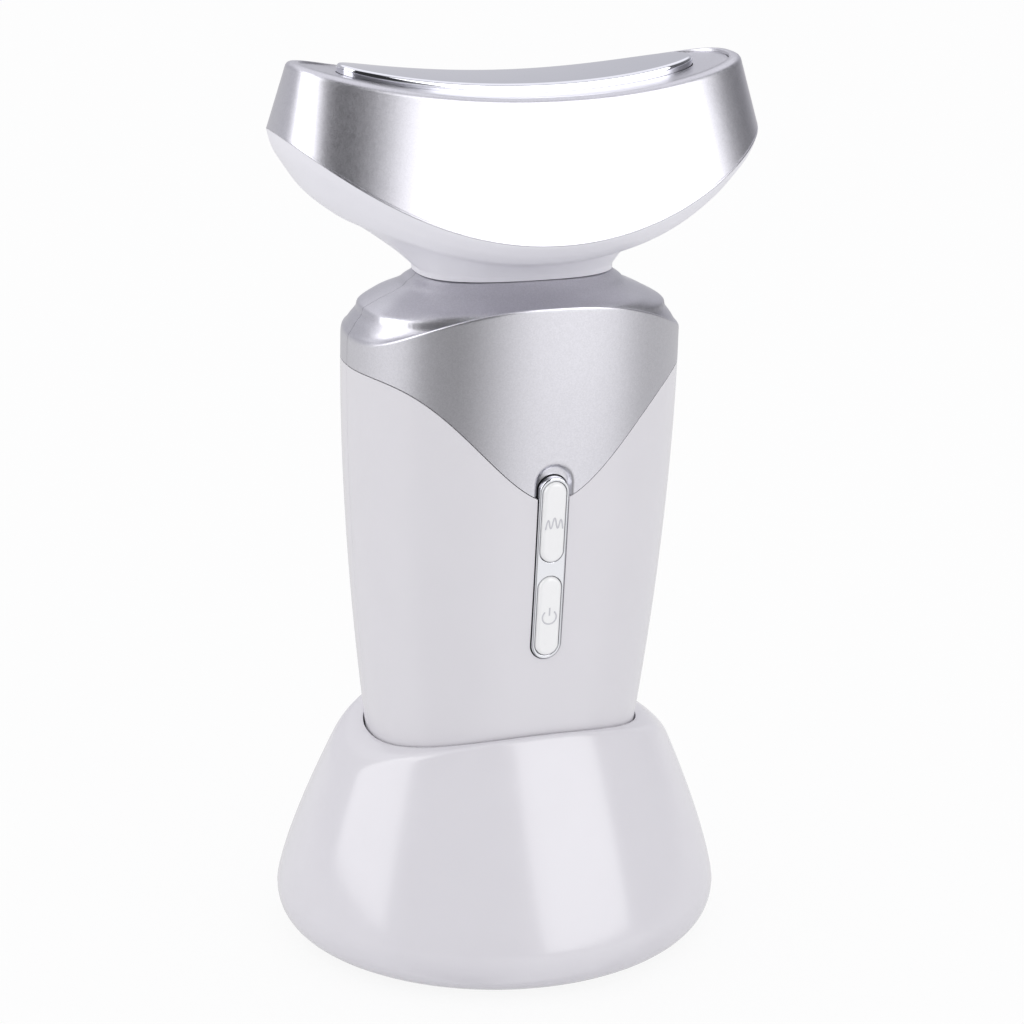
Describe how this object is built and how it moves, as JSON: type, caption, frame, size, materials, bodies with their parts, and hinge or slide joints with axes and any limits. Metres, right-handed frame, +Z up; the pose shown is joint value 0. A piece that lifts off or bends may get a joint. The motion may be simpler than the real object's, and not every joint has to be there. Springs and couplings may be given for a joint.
{
  "type": "facial toning device",
  "caption": "Cordless facial toning handset with a flared head, a curved electrode plate and push buttons, standing in its charging cradle.",
  "frame": {"origin": "centre of the cradle's footprint, on the surface its feet stand on", "axes": "+Z up; the buttons face -Y; +X to the right of a person who faces the buttons, along the head's long side"},
  "size_m": [0.0835, 0.0716, 0.1537],
  "materials": {
    "cradle_white": "glossy moulded white plastic",
    "base_grey": "matt moulded plastic",
    "foot_rubber": "matt soft rubber",
    "screw_steel": "zinc-plated steel",
    "circuit_board": "green solder mask",
    "black_plastic": "matt moulded plastic",
    "gold_contact": "gold-plated brass",
    "inlet_steel": "drawn steel sleeve",
    "grip_white": "satin white plastic",
    "head_white": "satin white plastic",
    "silver_paint": "silver paint on moulded plastic",
    "chrome_plate": "polished chrome",
    "button_white": "glossy white plastic",
    "cell_wrap": "printed shrink wrap without marks",
    "film_amber": "polyimide film",
    "motor_steel": "drawn steel",
    "weight_brass": "sintered metal"
  },
  "bodies": {
    "cradle": {"cradle_shell": "cradle_white", "cradle_base_plate": "base_grey", "cradle_feet": "foot_rubber", "cradle_screws": "screw_steel", "dock_board": "circuit_board", "dock_board_screws": "screw_steel", "pin_block": "black_plastic", "charging_inlet": "inlet_steel"},
    "charge_pin_left": {"charge_pin_left": "gold_contact"},
    "charge_pin_right": {"charge_pin_right": "gold_contact"},
    "handset": {"foot_cap": "grip_white", "charge_contacts": "gold_contact", "front_shell": "grip_white", "rear_shell": "grip_white", "shell_screws": "screw_steel", "main_board": "circuit_board", "board_screws": "screw_steel", "tact_switches": "black_plastic", "button_bezel": "chrome_plate", "battery_cell": "cell_wrap", "battery_tray": "black_plastic", "front_collar": "silver_paint", "rear_collar": "silver_paint", "head_lower_shell": "head_white", "head_band": "silver_paint", "face_frame": "silver_paint", "electrode_plate": "chrome_plate", "heater_film": "film_amber", "head_screws": "screw_steel", "motor_bracket": "black_plastic", "vibration_motor": "motor_steel"},
    "mode_button": {"mode_button": "button_white"},
    "power_button": {"power_button": "button_white"},
    "motor_rotor": {"motor_shaft": "motor_steel", "eccentric_weight": "weight_brass"}
  },
  "joints": [
    {"name": "handset_lift", "type": "slide", "parent": "cradle", "child": "handset", "axis": [0, 0, 1], "range_m": [0, 0.05]},
    {"name": "charge_pin_left_travel", "type": "slide", "parent": "cradle", "child": "charge_pin_left", "axis": [0, 0, 1], "range_m": [-0.001, 0], "stiffness_N_per_m": 400},
    {"name": "charge_pin_right_travel", "type": "slide", "parent": "cradle", "child": "charge_pin_right", "axis": [0, 0, 1], "range_m": [-0.001, 0], "stiffness_N_per_m": 400},
    {"name": "mode_button_press", "type": "slide", "parent": "handset", "child": "mode_button", "axis": [0, 0.9984, 0.0564], "range_m": [0, 0.0004], "stiffness_N_per_m": 2500},
    {"name": "power_button_press", "type": "slide", "parent": "handset", "child": "power_button", "axis": [0, 0.9984, 0.0564], "range_m": [0, 0.0004], "stiffness_N_per_m": 2500},
    {"name": "motor_spin", "type": "hinge", "parent": "handset", "child": "motor_rotor", "pos_m": [0.008, 0, 0.1353], "axis": [1, 0, 0], "continuous": true}
  ]
}
